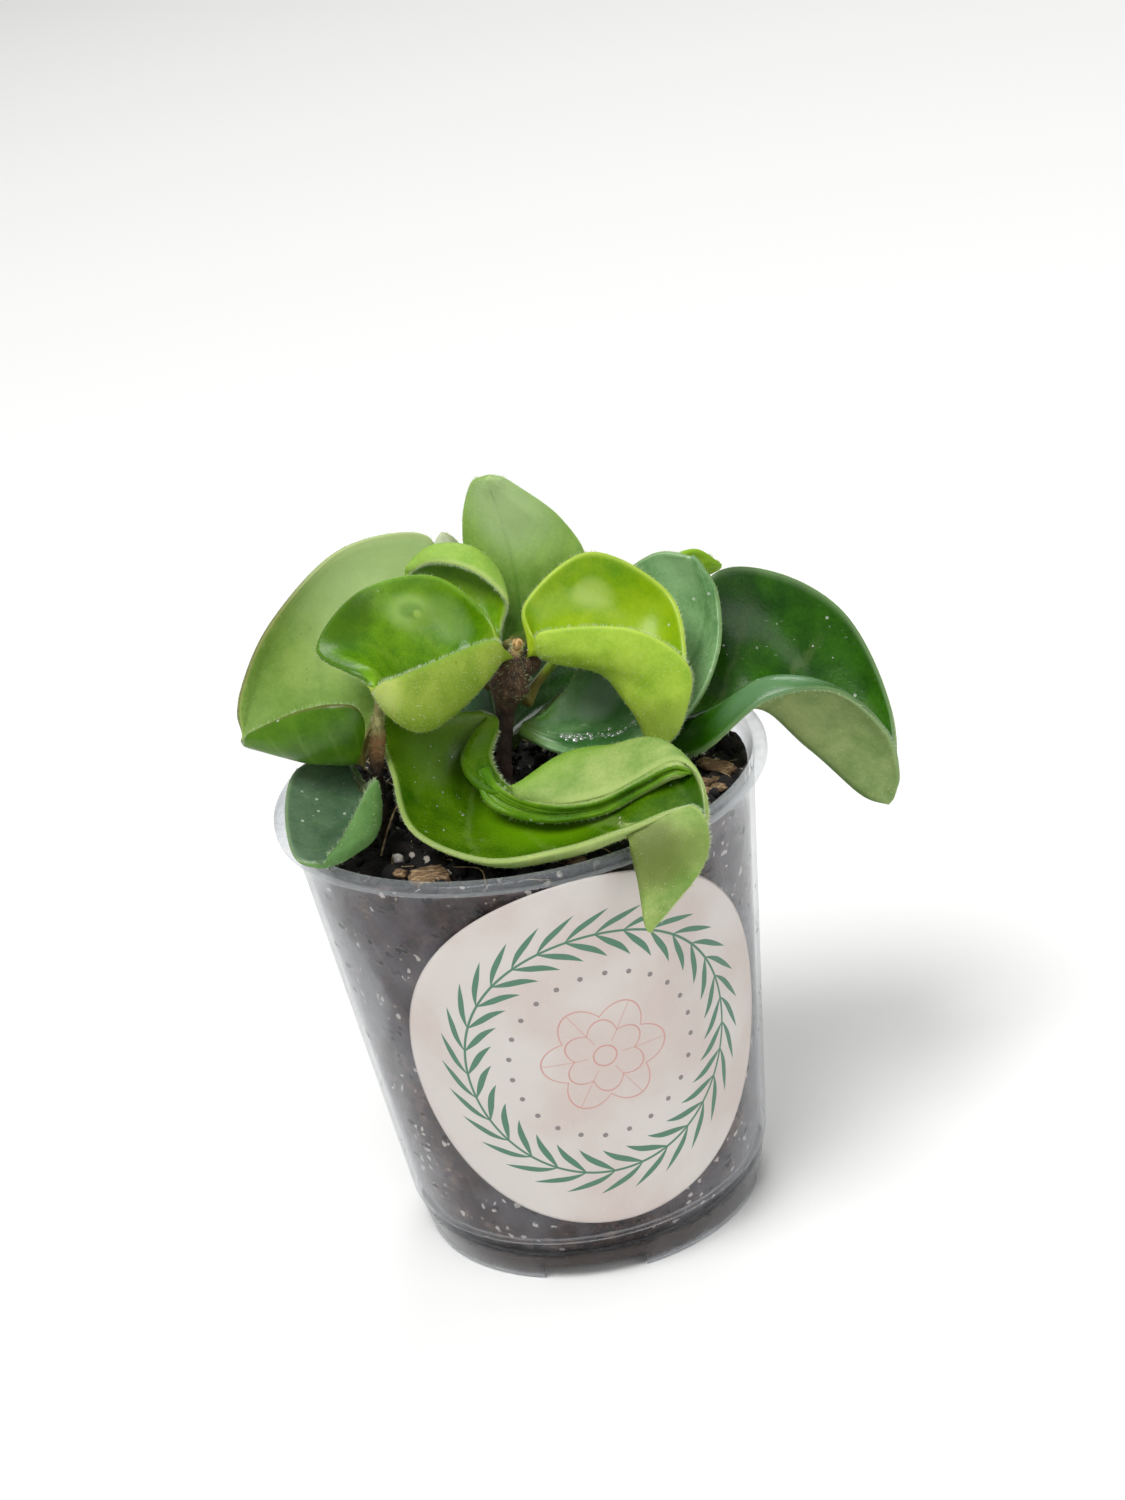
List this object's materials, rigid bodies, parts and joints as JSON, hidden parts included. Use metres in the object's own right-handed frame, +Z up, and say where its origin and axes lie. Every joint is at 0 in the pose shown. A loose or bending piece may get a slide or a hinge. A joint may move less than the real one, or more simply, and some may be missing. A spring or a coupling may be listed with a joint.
{
  "type": "potted hoya",
  "caption": "Young twisted-leaf hoya: thick folded and curled green leaves on short stems, rooted in dark potting mix in a clear plastic nursery pot with a round blank sticker.",
  "frame": {"origin": "middle of the whole plant's box in x and y, at the foot of the pot, on the surface that it stands on", "axes": "+Z up along the pot's axis, -Y towards the viewer of the picture, +X to the viewer's right"},
  "size_m": [0.084, 0.0682, 0.1001],
  "materials": {
    "clear_plastic": "thin clear injection-moulded polypropylene, glossy, faintly scuffed and damp inside",
    "potting_mix": "dark moist peat and bark mix with white perlite grains and tan chips",
    "sticker": "matte off-white paper sticker with plain sage and rose lines",
    "stem_bark": "brown-purple young stem with fine hairs",
    "dried_stem": "dry tan papery stem tip",
    "leaf_dark": "waxy dark green upper side, paler matte underside, pale fuzzy margin",
    "leaf_blue": "waxy blue-green upper side with droplets and light scuffs",
    "leaf_mid": "glossy fresh green upper side, light green matte underside with fine fuzz",
    "leaf_lime": "glossy yellow-green young leaf, fuzzy light underside",
    "leaf_pale": "matte light green underside with faint mottling, glossy dark upper side"
  },
  "bodies": {
    "root": {"pot": "clear_plastic", "soil": "potting_mix", "label": "sticker", "stem_main": "stem_bark", "stem_dried": "dried_stem", "stem_right": "stem_bark", "leaf_left_large": "leaf_pale", "leaf_left_young": "leaf_mid", "leaf_hood": "leaf_mid", "leaf_top": "leaf_pale", "leaf_back_left": "leaf_pale", "leaf_right_young": "leaf_lime", "leaf_right_bowl": "leaf_blue", "leaf_front": "leaf_mid", "leaf_right_large": "leaf_dark", "leaf_front_left": "leaf_blue", "leaf_back_right_young": "leaf_lime", "leaf_back_right": "leaf_dark", "leaf_back": "leaf_blue"}
  },
  "joints": []
}
